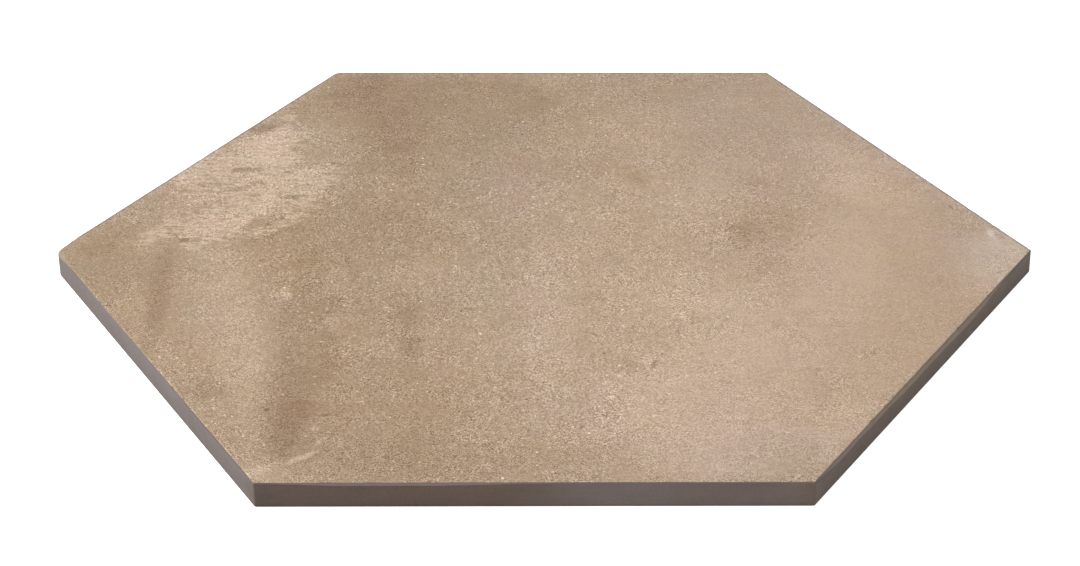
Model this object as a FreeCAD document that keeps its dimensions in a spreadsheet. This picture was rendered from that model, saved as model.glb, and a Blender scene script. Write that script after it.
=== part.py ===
import FreeCAD, Part
import math
import os
import Sketcher

# Hexagon floor tile: one pressed and fired piece of porcelain stoneware.
# It lies face up on its back. The origin is the middle of the back, +Z is up, and two corners point
# along X. Its edges are ground square, its rims are bevelled, two of its corners are worn round, and
# the back has a honeycomb of shallow cells that keys it to the adhesive. The cell in the middle is
# left out, so there is a plain pad there.

NODE = "hexagon_tile"
CORNERS = 6
TURN = 360 / CORNERS

# Driving dimensions, in millimetres and degrees. A rim radius rounds a corner of the wearing face, and
# the corner below the bevel is larger by the bevel.
DIMENSIONS = {
    "across_flats": 285.0,
    "thickness": 8.6,
    "rim_radius": 0.3,
    "worn_left_rim_radius": 5.0,
    "worn_back_rim_radius": 2.6,
    "top_bevel": 0.6,
    "bottom_bevel": 0.35,
    "back_margin": 9.0,
    "cell_pitch": 20.0,
    "rib_width": 2.5,
    "cell_depth": 0.6,
    "cell_draft": 25.0,
}

# The corners are counted from the one on +X, anticlockwise seen from above.
WORN_CORNERS = {2: "worn_back_rim_radius", 3: "worn_left_rim_radius"}


def add_sizes(doc):
    sheet = doc.addObject("Spreadsheet::Sheet", "Sizes")
    for row, (name, value) in enumerate(DIMENSIONS.items(), start=1):
        sheet.set(f"A{row}", name)
        sheet.set(f"B{row}", str(value))
        sheet.setAlias(f"B{row}", name)
    doc.recompute()
    return sheet


def new_sketch(body, name):
    bottom = next(f for f in body.Origin.OriginFeatures if f.Role == "XY_Plane")
    sketch = body.newObject("Sketcher::SketchObject", name)
    sketch.AttachmentSupport = [(bottom, "")]
    sketch.MapMode = "FlatFace"
    return sketch


def on_circle(centre, radius, degrees):
    angle = math.radians(degrees)
    return centre + FreeCAD.Vector(radius * math.cos(angle), radius * math.sin(angle), 0)


def bind(sketch, constraint, name, formula):
    index = sketch.addConstraint(constraint)
    sketch.renameConstraint(index, name)
    sketch.setExpression(f"Constraints.{name}", formula)


def draw_sides(sketch, centre, inner_radius, first_turn, shortening):
    """Draws six lines round a construction circle that they touch, and returns the circle and the lines.

    Line k faces the direction first_turn + k * TURN, and stops short of both of its corners.
    """
    circle = Part.Circle(centre, FreeCAD.Vector(0, 0, 1), inner_radius)
    inscribed = sketch.addGeometry(circle, True)
    half_side = inner_radius * math.tan(math.radians(TURN / 2)) - shortening
    lines = []
    for k in range(CORNERS):
        facing = first_turn + k * TURN
        middle = on_circle(centre, inner_radius, facing)
        along = on_circle(FreeCAD.Vector(0, 0, 0), half_side, facing + 90)
        line = sketch.addGeometry(Part.LineSegment(middle - along, middle + along), False)
        sketch.addConstraint(Sketcher.Constraint("Tangent", line, inscribed))
        heading = (facing + 90 + 180) % 360 - 180
        sketch.addConstraint(Sketcher.Constraint("Angle", line, math.radians(heading)))
        lines.append(line)
    return inscribed, lines


def draw_outline(body, sizes):
    """The hexagon of the tile, whose sides meet in round corners."""
    sketch = new_sketch(body, "Outline")
    bevel = max(sizes.top_bevel, sizes.bottom_bevel)
    centre = FreeCAD.Vector(0, 0, 0)
    inner_radius = sizes.across_flats / 2
    first_turn = TURN / 2
    inscribed, lines = draw_sides(sketch, centre, inner_radius, first_turn, bevel)
    origin_point = (-1, 1)
    sketch.addConstraint(Sketcher.Constraint("Coincident", inscribed, 3, *origin_point))
    across = Sketcher.Constraint("Diameter", inscribed, sizes.across_flats)
    bind(sketch, across, "across_flats", "Sizes.across_flats")
    for corner in range(CORNERS):
        rim = WORN_CORNERS.get(corner, "rim_radius")
        radius = getattr(sizes, rim) + bevel
        direction = corner * TURN
        reach = (inner_radius - radius) / math.cos(math.radians(TURN / 2))
        circle = Part.Circle(on_circle(centre, reach, direction), FreeCAD.Vector(0, 0, 1), radius)
        start = math.radians(direction - TURN / 2)
        end = math.radians(direction + TURN / 2)
        arc = sketch.addGeometry(Part.ArcOfCircle(circle, start, end), False)
        sketch.addConstraint(Sketcher.Constraint("Tangent", lines[corner - 1], 2, arc, 1))
        sketch.addConstraint(Sketcher.Constraint("Tangent", arc, 2, lines[corner], 1))
        rounding = Sketcher.Constraint("Radius", arc, radius)
        formula = f"Sizes.{rim} + max(Sizes.top_bevel; Sizes.bottom_bevel)"
        bind(sketch, rounding, f"corner_{corner}", formula)
    return sketch


def add_slab(body, sizes):
    slab = body.newObject("PartDesign::Pad", "Slab")
    slab.Profile = draw_outline(body, sizes)
    slab.setExpression("Length", "Sizes.thickness")
    return slab


def add_bevel(body, base, name, height, size):
    """Bevels the rim of the flat face of base that lies at this height."""

    def distance(number):
        box = base.Shape.getElement(f"Face{number}").BoundBox
        return abs(box.ZMin - height) + abs(box.ZMax - height)

    numbers = range(1, len(base.Shape.Faces) + 1)
    flat_face = min(numbers, key=distance)
    bevel = body.newObject("PartDesign::Chamfer", name)
    bevel.Base = (base, [f"Face{flat_face}"])
    bevel.setExpression("Size", f"Sizes.{size}")
    return bevel


def draw_cell(body, sizes):
    """The mouth of the first cell beside the middle, and the slanting line that its rows follow."""
    sketch = new_sketch(body, "Cell")
    centre = FreeCAD.Vector(sizes.cell_pitch, 0, 0)
    inner_radius = (sizes.cell_pitch - sizes.rib_width) / 2
    inscribed, lines = draw_sides(sketch, centre, inner_radius, 0, 0)
    for k in range(CORNERS):
        sketch.addConstraint(Sketcher.Constraint("Coincident", lines[k - 1], 2, lines[k], 1))
    origin_point = (-1, 1)
    horizontal_axis = -1
    sketch.addConstraint(Sketcher.Constraint("PointOnObject", inscribed, 3, horizontal_axis))
    place = Sketcher.Constraint("DistanceX", *origin_point, inscribed, 3, sizes.cell_pitch)
    bind(sketch, place, "cell_pitch", "Sizes.cell_pitch")
    across = Sketcher.Constraint("Diameter", inscribed, 2 * inner_radius)
    bind(sketch, across, "cell_width", "Sizes.cell_pitch - Sizes.rib_width")
    middle = FreeCAD.Vector(0, 0, 0)
    slant = Part.LineSegment(middle, on_circle(middle, sizes.cell_pitch, 2 * TURN))
    guide = sketch.addGeometry(slant, True)
    sketch.addConstraint(Sketcher.Constraint("Coincident", guide, 1, *origin_point))
    sketch.addConstraint(Sketcher.Constraint("Angle", guide, math.radians(2 * TURN)))
    length = Sketcher.Constraint("Distance", guide, sizes.cell_pitch)
    bind(sketch, length, "guide_length", "Sizes.cell_pitch")
    return sketch


def add_row(body, name, direction, count):
    """Repeats a cell along a direction of its sketch, one pitch apart."""
    row = body.newObject("PartDesign::LinearPattern", name)
    row.Direction = direction
    row.Mode = "Spacing"
    row.setExpression("Offset", "Sizes.cell_pitch")
    row.setExpression("Occurrences", count)
    return row


def add_key_relief(body, sizes):
    """Presses the cells into the back.

    A hexagonal honeycomb of n rings is its middle cell and three like diamonds of n by n + 1 cells,
    so the first cell is repeated along X, along the slanting line and three times round.
    """
    cell = draw_cell(body, sizes)
    pocket = body.newObject("PartDesign::Pocket", "FirstCell")
    pocket.Profile = cell
    pocket.Reversed = True
    pocket.Refine = False
    pocket.setExpression("Length", "Sizes.cell_depth")
    pocket.setExpression("TaperAngle", "-Sizes.cell_draft")

    # The outermost cells point at the sides with a corner, and the margin is what is left beyond it.
    corner_reach = "(Sizes.cell_pitch - Sizes.rib_width) / sqrt(3)"
    room = f"Sizes.across_flats / 2 - Sizes.back_margin - {corner_reach}"
    rings = f"floor(({room}) / (Sizes.cell_pitch * cos(30)))"
    columns = add_row(body, "Columns", (cell, ["H_Axis"]), rings)
    rows = add_row(body, "Rows", (cell, ["Axis0"]), f"{rings} + 1")
    thirds = body.newObject("PartDesign::PolarPattern", "Thirds")
    thirds.Axis = (cell, ["N_Axis"])
    thirds.Angle = 360
    thirds.Occurrences = 3
    honeycomb = body.newObject("PartDesign::MultiTransform", "Honeycomb")
    honeycomb.Originals = [pocket]
    honeycomb.Transformations = [columns, rows, thirds]
    honeycomb.Refine = False
    body.Tip = honeycomb
    return honeycomb


def check_built(doc):
    for feature in doc.Objects:
        if {"Invalid", "Error"} & set(feature.State):
            raise RuntimeError(f"{feature.Label} failed: {feature.State}")


def check_solid(body):
    shape = body.Shape
    if shape.isNull() or not shape.isValid() or len(shape.Solids) != 1:
        raise RuntimeError(f"{body.Label} is not one valid solid")


def check_relief(doc):
    """A pocket that points the wrong way cuts nothing, so what the cells take out is compared."""
    plain_volume = doc.getObject("BackRim").Shape.Volume
    one_cell = plain_volume - doc.getObject("FirstCell").Shape.Volume
    all_cells = plain_volume - doc.getObject("Honeycomb").Shape.Volume
    diamond = doc.getObject("Columns").Occurrences * doc.getObject("Rows").Occurrences
    count = doc.getObject("Thirds").Occurrences * diamond
    print(f"one cell takes out {one_cell:.2f} mm3, {count} cells take out {all_cells:.1f} mm3")
    if one_cell <= 0 or abs(all_cells - count * one_cell) > 0.001 * all_cells:
        raise RuntimeError("the cells of the back are not all cut")


def main():
    doc = FreeCAD.newDocument("HexagonTile")
    sizes = add_sizes(doc)
    body = doc.addObject("PartDesign::Body", "Tile")
    body.Label = NODE
    slab = add_slab(body, sizes)
    doc.recompute()
    wearing_rim = add_bevel(body, slab, "WearingRim", sizes.thickness, "top_bevel")
    doc.recompute()
    add_bevel(body, wearing_rim, "BackRim", 0, "bottom_bevel")
    doc.recompute()
    add_key_relief(body, sizes)
    doc.recompute()
    check_built(doc)
    check_solid(body)
    check_relief(doc)
    os.makedirs("parts", exist_ok=True)
    body.Shape.exportStep(os.path.join("parts", f"{body.Label}.step"))
    box = body.Shape.BoundBox
    print(f"{body.Label}: {box.XLength:.2f} x {box.YLength:.2f} x {box.ZLength:.2f} mm")
    print(f"volume {body.Shape.Volume / 1000:.1f} cm3, {len(body.Shape.Faces)} faces")


main()
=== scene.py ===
"""Looks of the hexagon floor tile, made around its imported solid.

One closed mesh stands for the solid: the wearing face with its fine relief, an uneven ground bevel, the
ground edges and the moulded back. Lengths are in millimetres until the mesh is made.
"""

import math
import random

import bmesh
import bpy
from mathutils import Matrix, Vector, noise


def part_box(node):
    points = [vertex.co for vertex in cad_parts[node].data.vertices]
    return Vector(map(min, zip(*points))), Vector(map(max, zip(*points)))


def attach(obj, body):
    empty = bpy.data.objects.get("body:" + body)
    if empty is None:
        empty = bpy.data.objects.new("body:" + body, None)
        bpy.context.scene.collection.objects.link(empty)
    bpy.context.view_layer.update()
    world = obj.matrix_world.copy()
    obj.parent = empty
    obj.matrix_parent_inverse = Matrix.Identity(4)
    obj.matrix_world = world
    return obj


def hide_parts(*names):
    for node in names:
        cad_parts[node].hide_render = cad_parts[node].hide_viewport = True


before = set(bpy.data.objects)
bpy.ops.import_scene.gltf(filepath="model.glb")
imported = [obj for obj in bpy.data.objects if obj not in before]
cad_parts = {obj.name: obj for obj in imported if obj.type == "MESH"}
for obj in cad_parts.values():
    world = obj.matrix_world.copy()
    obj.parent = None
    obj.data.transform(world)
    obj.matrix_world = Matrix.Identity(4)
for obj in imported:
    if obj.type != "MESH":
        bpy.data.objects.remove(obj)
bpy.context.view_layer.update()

MM = 0.001
NODE = "hexagon_tile"
CORNERS = 6
TURN = 360 / CORNERS
# Of half a turn: half a side over the apothem, and the apothem over the reach of a corner.
SLOPE = math.tan(math.radians(TURN / 2))
LEAN = math.cos(math.radians(TURN / 2))

low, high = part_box(NODE)
APOTHEM = (high.y - low.y) / 2 / MM
THICKNESS = (high.z - low.z) / MM

# The rounding of the vertical corners. Corners are counted from the one on +X, anticlockwise from above.
CORNER_RADIUS = 0.9
WORN_CORNER_RADII = {2: 3.2, 3: 5.6}

# The honeycomb of the back.
CELL_PITCH = 20.0
RIB_WIDTH = 2.5
CELL_DEPTH = 0.6
CELL_DRAFT = 25.0
CELL_RINGS = 7

# Slots of the mesh
FACE, BEVEL, EDGE, BACK = range(4)

# Sides are counted from the one between corners 0 and 1.
BACK_RIGHT, FAR, BACK_LEFT, FRONT_LEFT, FRONT, FRONT_RIGHT = range(CORNERS)


def direction(degrees):
    return Vector((math.cos(math.radians(degrees)), math.sin(math.radians(degrees))))


def smooth(value):
    value = min(max(value, 0.0), 1.0)
    return value * value * (3 - 2 * value)


def swell(value, middle, half_width):
    """One at the middle, falling smoothly to nought half a width away."""
    return smooth(1 - abs(value - middle) / half_width)


def wander(*place):
    """Smooth noise between -1 and 1."""
    return noise.noise(Vector(place))


def add_object(name, data):
    """Puts a new object with this data into the scene."""
    thing = bpy.data.objects.new(name, data)
    bpy.context.scene.collection.objects.link(thing)
    return thing


# Camera, fitted to the corners of the tile in the photograph

PHOTO_WIDTH = 1080
FOCAL_PIXELS = 2774
SENSOR = 36.0
CAMERA_PLACE = (0.02212, -0.82254, 0.45512)
YAW, PITCH, ROLL = 0.709, 29.179, -0.284
PRINCIPAL_POINT_RIGHT = 100


def make_camera():
    yaw, pitch, roll = (math.radians(angle) for angle in (YAW, PITCH, ROLL))
    forward = Vector((math.sin(yaw) * math.cos(pitch), math.cos(yaw) * math.cos(pitch), -math.sin(pitch)))
    level_right = Vector((math.cos(yaw), -math.sin(yaw), 0))
    level_down = forward.cross(level_right)
    right = math.cos(roll) * level_right + math.sin(roll) * level_down
    up = -forward.cross(right)
    data = bpy.data.cameras.new("camera")
    data.sensor_fit = "HORIZONTAL"
    data.sensor_width = SENSOR
    data.lens = FOCAL_PIXELS / PHOTO_WIDTH * SENSOR
    data.shift_x = -PRINCIPAL_POINT_RIGHT / PHOTO_WIDTH
    data.clip_start = 0.01
    camera = add_object("camera", data)
    facing = Matrix((right, up, -forward)).transposed().to_4x4()
    camera.matrix_world = Matrix.Translation(CAMERA_PLACE) @ facing
    bpy.context.scene.camera = camera


# Outline of the tile at any distance inside its edge

SIDE_STEPS = 190
ARC_STEPS = 8
SHARPEST_RADIUS = 0.12


def corner_radius(corner, inset):
    return max(WORN_CORNER_RADII.get(corner % CORNERS, CORNER_RADIUS) - inset, SHARPEST_RADIUS)


def corner_point(corner, share, inset):
    """A point on the round of a corner, share of the way round it."""
    radius = corner_radius(corner, inset)
    reach = (APOTHEM - inset - radius) / LEAN
    facing = corner * TURN + (share - 0.5) * TURN
    return direction(corner * TURN) * reach + direction(facing) * radius


def side_point(side, share, inset):
    """A point on the straight of a side, share of the way from one corner's round to the next one's."""
    facing = (side + 0.5) * TURN
    half = (APOTHEM - inset) * SLOPE
    start = -half + corner_radius(side, inset) * SLOPE
    end = half - corner_radius(side + 1, inset) * SLOPE
    along = start + (end - start) * share
    return direction(facing) * (APOTHEM - inset) + direction(facing + 90) * along


def stations():
    """Places round the rim, anticlockwise: the function that gives the point, its number and its share."""
    found = []
    for k in range(CORNERS):
        found += [(corner_point, k, step / ARC_STEPS) for step in range(ARC_STEPS + 1)]
        found += [(side_point, k, step / SIDE_STEPS) for step in range(1, SIDE_STEPS)]
    return found


# The ground bevel. Each swell deepens it along a side: where, half width, extra depth.

BEVEL_INSET = 0.30
BEVEL_DEPTH = 0.42
BEVEL_SWELLS = {
    BACK_RIGHT: [(0.45, 0.40, 0.5)],
    FAR: [(0.30, 0.25, 0.4), (0.75, 0.2, 0.6)],
    BACK_LEFT: [(0.60, 0.35, 0.5)],
    FRONT_LEFT: [(0.35, 0.30, 0.12)],
    FRONT: [(0.14, 0.14, 0.55), (0.30, 0.22, 0.75)],
    FRONT_RIGHT: [(0.09, 0.11, 1.2), (0.20, 0.16, 1.5), (0.42, 0.24, 2.3), (0.68, 0.24, 2.6)],
}
# How much the inset, the depth and the swells waver.
INSET_WAVER, DEPTH_WAVER, SWELL_WAVER = 0.05, 0.07, 0.12

# Small chips of the rim, and the ranges of their shares along a side, half widths and depths.
CHIPS_PER_SIDE = 5
CHIP_RANGES = ((0.04, 0.96), (0.6, 1.6), (0.08, 0.28))

# The left corner is worn: its bevel is wider and deeper within this reach of its tip.
WORN_TIP = direction(3 * TURN) * APOTHEM / LEAN
WORN_REACH = 11.0
WORN_FADE = 7.0
WORN_INSET = 0.5
WORN_DEPTH = 0.45

# Rows of the rim. The face rounds over into the bevel: inset past the bevel's own, and depth. The first
# row lies at least this far in. Rows of the bevel lie at these parts of its slant.
FACE_ROUND = ((0.9, 0.0), (0.5, 0.0), (0.13, 0.005), (0.0, 0.07))
LEAST_REACH = 1.6
BEVEL_PARTS = (0.35, 0.7, 0.94)
# The ground edge begins this far below the bevel, and its rough hollows are up to this deep.
EDGE_START = 0.12
EDGE_PARTS = (0.0, 0.12, 0.3, 0.5, 0.7, 0.88, 1.0)
EDGE_ROUGHNESS = 0.035
# The edge rounds over into the back: inset, and height above the back.
FOOT_HEIGHT = 0.5
FOOT_ROUND = ((0.03, 0.36), (0.12, 0.14), (0.33, 0.02), (0.5, 0.0))
FACE_BANDS = len(FACE_ROUND) - 1
BEVEL_BANDS = len(BEVEL_PARTS)


def make_chips():
    """The side, the share along it, the half width and the depth of each chip."""
    draw = random.Random(11)
    chips = []
    for side in range(CORNERS):
        for _ in range(CHIPS_PER_SIDE):
            chips.append((side, *(draw.uniform(*ends) for ends in CHIP_RANGES)))
    return chips


CHIPS = make_chips()


def bevel_at(maker, number, share, place):
    """The inset of the bevel's upper edge and the depth of its lower edge."""
    inset = BEVEL_INSET + INSET_WAVER * wander(place.x / 14, place.y / 14, 3.0)
    depth = BEVEL_DEPTH + DEPTH_WAVER * wander(place.x / 20, place.y / 20, 9.0)
    if maker is side_point:
        length = 2 * APOTHEM * SLOPE
        waver = 1 + SWELL_WAVER * wander(place.x / 9, place.y / 9, 5.0)
        for middle, half_width, extra in BEVEL_SWELLS[number]:
            depth += extra * swell(share, middle, half_width) * waver
        for side, where, half_width, bite in CHIPS:
            if side == number:
                inset += bite * swell(share * length, where * length, half_width)
    wear = smooth((WORN_REACH - (place - WORN_TIP).length) / WORN_FADE)
    return inset + WORN_INSET * wear, depth + WORN_DEPTH * wear


def rim_profile(maker, number, share):
    """Inset and depth of each row of the rim, from the wearing face to the back."""
    place = maker(number, share, 0)
    inset, depth = bevel_at(maker, number, share, place)
    rows = [(inset + past, below) for past, below in FACE_ROUND]
    rows[0] = (max(LEAST_REACH, rows[0][0]), 0.0)
    upper = Vector(rows[-1])
    slant = Vector((0.0, depth)) - upper
    rows += [tuple(upper + part * slant) for part in BEVEL_PARTS]
    top = depth + EDGE_START
    bottom = THICKNESS - FOOT_HEIGHT
    for part in EDGE_PARTS:
        below = top + (bottom - top) * part
        roughness = 0.5 + 0.5 * wander(place.x / 5, place.y / 5, below / 2.5)
        rows.append((EDGE_ROUGHNESS * roughness * math.sin(math.pi * part) ** 0.5, below))
    rows += [(hollow, THICKNESS - height) for hollow, height in FOOT_ROUND]
    return rows


# The mesh under construction


class Shell:
    def __init__(self):
        self.points = []
        self.faces = []
        self.slots = []
        self.places = {}

    def point(self, x, y, z):
        self.points.append((x, y, z))
        return len(self.points) - 1

    def shared_point(self, x, y, z):
        """The point at this place, which is made once."""
        key = (round(x, 3), round(y, 3), round(z, 3))
        if key not in self.places:
            self.places[key] = self.point(x, y, z)
        return self.places[key]

    def face(self, corners, slot):
        self.faces.append(corners)
        self.slots.append(slot)

    def fan(self, middle, ring, slot):
        for here, after in zip(ring, ring[1:] + ring[:1]):
            self.face((middle, here, after), slot)

    def band(self, ring, other, slot):
        """Joins two rings of equal length."""
        for k in range(len(ring)):
            after = (k + 1) % len(ring)
            self.face((ring[k], ring[after], other[after], other[k]), slot)

    def zip(self, inner, outer, slot):
        """Joins two rings of different lengths, each in order of its angle round the middle."""

        def turned(ring):
            angles = [math.atan2(self.points[k][1], self.points[k][0]) % math.tau for k in ring]
            first = min(range(len(ring)), key=angles.__getitem__)
            order = list(range(first, len(ring))) + list(range(first))
            rising = [angles[k] for k in order] + [angles[first] + math.tau]
            return [ring[k] for k in order] + [ring[first]], rising

        inner, inner_angles = turned(inner)
        outer, outer_angles = turned(outer)
        last_inner, last_outer = len(inner) - 1, len(outer) - 1
        i = j = 0
        while i < last_inner or j < last_outer:
            if j == last_outer or (i < last_inner and inner_angles[i + 1] <= outer_angles[j + 1]):
                self.face((inner[i], outer[j], inner[i + 1]), slot)
                i += 1
            else:
                self.face((inner[i], outer[j], outer[j + 1]), slot)
                j += 1


# Wearing face: a lattice of triangles

LATTICE_RINGS = 112
LATTICE_INSET = 2.5


def add_lattice(shell):
    """Adds the flat of the wearing face and returns the ring at its boundary."""
    reach = (APOTHEM - LATTICE_INSET) / LEAN
    step = reach / LATTICE_RINGS
    inner = [shell.point(0, 0, THICKNESS)]
    for ring in range(1, LATTICE_RINGS + 1):
        outer = []
        for k in range(CORNERS):
            corner = direction(k * TURN) * ring * step
            along = direction((k + 2) * TURN) * step
            for part in range(ring):
                place = corner + along * part
                outer.append(shell.point(place.x, place.y, THICKNESS))
        for k in range(CORNERS):
            for part in range(ring):
                here = outer[k * ring + part]
                after = outer[(k * ring + part + 1) % len(outer)]
                below = inner[(k * (ring - 1) + part) % len(inner)]
                shell.face((here, after, below), FACE)
                if part:
                    before = inner[k * (ring - 1) + part - 1]
                    shell.face((before, here, below), FACE)
        inner = outer
    return inner


def add_rim(shell):
    """Adds the bands of the rim and the edges, and returns the first and the last ring."""
    places = stations()
    profiles = [rim_profile(*place) for place in places]
    rings = []
    for row in range(len(profiles[0])):
        ring = []
        for (maker, number, share), profile in zip(places, profiles):
            inset, depth = profile[row]
            place = maker(number, share, inset)
            ring.append(shell.point(place.x, place.y, THICKNESS - depth))
        rings.append(ring)
    slots = [FACE] * FACE_BANDS + [BEVEL] * BEVEL_BANDS
    slots += [EDGE] * (len(rings) - len(slots) - 2) + [BACK]
    for ring, below, slot in zip(rings, rings[1:], slots):
        shell.band(ring, below, slot)
    return rings[0], rings[-1]


# Back: a honeycomb of shallow cells with soft lips

LIP = 0.18
LIP_DEPTH = 0.06
CELL_SIDE_PARTS = 3
CELL_CORNER_ROUNDING = 1.6
FLOOR_ROUND = 0.12
FLOOR_ROUGHNESS = 0.04


def cell_ring(across, rounding):
    """Points of a hexagon whose flats face 0, 60, 120 degrees, with its corners drawn in."""
    reach = across / 2 / LEAN
    points = []
    for k in range(CORNERS):
        start = direction((k - 0.5) * TURN) * reach
        end = direction((k + 0.5) * TURN) * reach
        for part in range(CELL_SIDE_PARTS):
            place = start.lerp(end, part / CELL_SIDE_PARTS)
            if part == 0:
                place *= 1 - rounding * (1 / LEAN - 1) / reach
            points.append(place)
    return points


def add_back(shell):
    """Adds the honeycomb and returns its boundary ring."""
    mouth = CELL_PITCH - RIB_WIDTH
    floor_width = mouth - 2 * CELL_DEPTH * math.tan(math.radians(CELL_DRAFT))
    draw = random.Random(5)
    edges = {}
    for column in range(-CELL_RINGS, CELL_RINGS + 1):
        for row in range(-CELL_RINGS, CELL_RINGS + 1):
            if abs(column - row) > CELL_RINGS:
                continue
            middle = direction(0) * CELL_PITCH * column + direction(2 * TURN) * CELL_PITCH * row
            # Width across the cell, rounding of its corners and height, from its pitch to its floor.
            levels = [(CELL_PITCH, 0.0, 0.0)]
            if column or row:
                depth = CELL_DEPTH - draw.uniform(0, FLOOR_ROUGHNESS)
                levels += [
                    (mouth + 2 * LIP, 1.0, 0.0),
                    (mouth, CELL_CORNER_ROUNDING, LIP_DEPTH),
                    (floor_width + 0.1, CELL_CORNER_ROUNDING + 0.8, depth - FLOOR_ROUND),
                    (floor_width - 0.5, CELL_CORNER_ROUNDING + 1.2, depth),
                    (floor_width * 0.6, CELL_CORNER_ROUNDING, depth + draw.uniform(-0.05, 0)),
                ]
            rings = []
            for across, rounding, height in levels:
                ring = []
                for offset in cell_ring(across, rounding):
                    place = middle + offset
                    ring.append(shell.shared_point(place.x, place.y, height))
                rings.append(ring)
            for ring, other in zip(rings, rings[1:]):
                shell.band(ring, other, BACK)
            shell.fan(shell.point(middle.x, middle.y, levels[-1][2]), rings[-1], BACK)
            outer = rings[0]
            for here, after in zip(outer, outer[1:] + outer[:1]):
                if (after, here) in edges:
                    del edges[after, here]
                else:
                    edges[here, after] = True
    follow = dict(edges.keys())
    first = next(iter(follow))
    boundary = [first]
    while follow[boundary[-1]] != first:
        boundary.append(follow[boundary[-1]])
    return boundary


# Relief of the wearing face. Its waves: height, lengths along X and Y, and plane of the noise.

FACE_LEVEL = 0.075
RELIEF_REACH = 1.2
FACE_WAVES = ((0.022, 55, 55, 0.0), (0.012, 16, 12, 4.0), (0.006, 5, 4, 8.0))

# Dents and lumps: where, radius, height and how much it is drawn out along Y.
DENTS = [
    (33.7, -73.6, 1.5, -0.11, 1.5),
    (154.3, 10.6, 0.7, -0.13, 2.4),
    (152.6, 11.4, 0.9, 0.06, 2.6),
    (140.8, 31.7, 0.9, -0.12, 1.6),
    (151.9, -16.0, 0.8, -0.12, 1.4),
    (-44.4, -128.5, 0.9, -0.13, 1.2),
    (22.3, -94.8, 1.0, 0.05, 0.8),
    (-84.3, -29.0, 2.6, 0.03, 1.4),
    (-66.0, -129.0, 3.4, 0.04, 0.5),
]
GRIT_COUNT = 46
GRIT_HALF_FIELD = (150, 135)
GRIT_MARGIN = 5
GRIT_HEIGHTS = (-0.07, -0.05, 0.03, 0.045)
GRIT_RADII = (0.5, 0.9)
GRIT_STRETCHES = (0.8, 1.6)

# The lattice is divided round each of them, this many radii and this much further out, and more finely
# round a small one.
REFINED_RADII, REFINED_MARGIN = 1.6, 0.8
SMALL_RADIUS = 1.2


def make_grit():
    """Small dents and lumps strewn over the face, in the form of DENTS."""
    draw = random.Random(23)
    grit = []
    while len(grit) < GRIT_COUNT:
        x, y = (draw.uniform(-half, half) for half in GRIT_HALF_FIELD)
        farthest = max(abs(Vector((x, y)).dot(direction((k + 0.5) * TURN))) for k in range(3))
        height = draw.choice(GRIT_HEIGHTS)
        radius = draw.uniform(*GRIT_RADII)
        if farthest < APOTHEM - GRIT_MARGIN:
            grit.append((x, y, radius, height, draw.uniform(*GRIT_STRETCHES)))
    return grit


BUMPS = DENTS + make_grit()


def dent_height(x, y):
    """The rise of the dents and lumps: full within half a radius, and nought from one and a half."""
    height = 0.0
    for at_x, at_y, radius, rise, drawn_out in BUMPS:
        if abs(x - at_x) < 2 * radius and abs(y - at_y) < 2 * radius * drawn_out:
            distance = math.hypot(x - at_x, (y - at_y) / drawn_out) / radius
            height += rise * smooth(1.5 - distance)
    return height


def face_depth(x, y):
    """How far the worn surface lies under the highest level of the tile."""
    rise = sum(height * wander(x / long, y / wide, plane) for height, long, wide, plane in FACE_WAVES)
    return max(FACE_LEVEL - rise - dent_height(x, y), 0.0)


def refine_dents(mesh):
    """Divides the lattice round each dent and lump."""
    for at_x, at_y, radius, _, drawn_out in BUMPS:
        reach = REFINED_RADII * radius + REFINED_MARGIN
        cuts = 3 if radius < SMALL_RADIUS else 2
        near = []
        for vertex in mesh.verts:
            x, y, z = vertex.co
            if z > THICKNESS - 0.001 and math.hypot(x - at_x, (y - at_y) / drawn_out) < reach:
                near.append(vertex)
        chosen = set(near)
        edges = {edge for vertex in near for edge in vertex.link_edges if edge.other_vert(vertex) in chosen}
        bmesh.ops.subdivide_edges(mesh, edges=list(edges), cuts=cuts, use_grid_fill=True)
        mesh.verts.ensure_lookup_table()


def settle_face(mesh):
    """Presses the wearing face and its rim to their worn level."""
    for vertex in mesh.verts:
        x, y, z = vertex.co
        share = smooth(1 - (THICKNESS - z) / RELIEF_REACH)
        if share > 0:
            vertex.co.z = z - face_depth(x, y) * share


# Atlas for the bake: the face at full size, the back smaller above it, the edges upright at its side

ATLAS = 416.0
MIDDLE_U, MIDDLE_V = 165.5, 144.0
BACK_SCALE = 0.44
BACK_START_U, BACK_START_V = 1, 289.0
EDGE_START_U, EDGE_MIDDLE_V = 334.0, 84.0
EDGE_STEP_U, EDGE_STEP_V = 14.5, 170.0


def atlas_place(slot, facing, place):
    x, y, z = place
    if slot == FACE:
        return x + MIDDLE_U, y + MIDDLE_V
    if slot == BACK:
        return (x + MIDDLE_U) * BACK_SCALE + BACK_START_U, (y + MIDDLE_V) * BACK_SCALE + BACK_START_V
    side = int(facing // TURN) % CORNERS
    outward = (side + 0.5) * TURN
    along = Vector((x, y)).dot(direction(outward + 90))
    out = Vector((x, y)).dot(direction(outward)) - APOTHEM
    column, row = divmod(side, 2)
    across = THICKNESS - z - out
    return EDGE_START_U + column * EDGE_STEP_U + across, EDGE_MIDDLE_V + row * EDGE_STEP_V + along


def lay_atlas(mesh):
    layer = mesh.loops.layers.uv.new("OFBake")
    for face in mesh.faces:
        middle = face.calc_center_median()
        facing = math.degrees(math.atan2(middle.y, middle.x)) % 360
        for loop in face.loops:
            u, v = atlas_place(face.material_index, facing, loop.vert.co)
            loop[layer].uv = (u / ATLAS, v / ATLAS)


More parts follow.
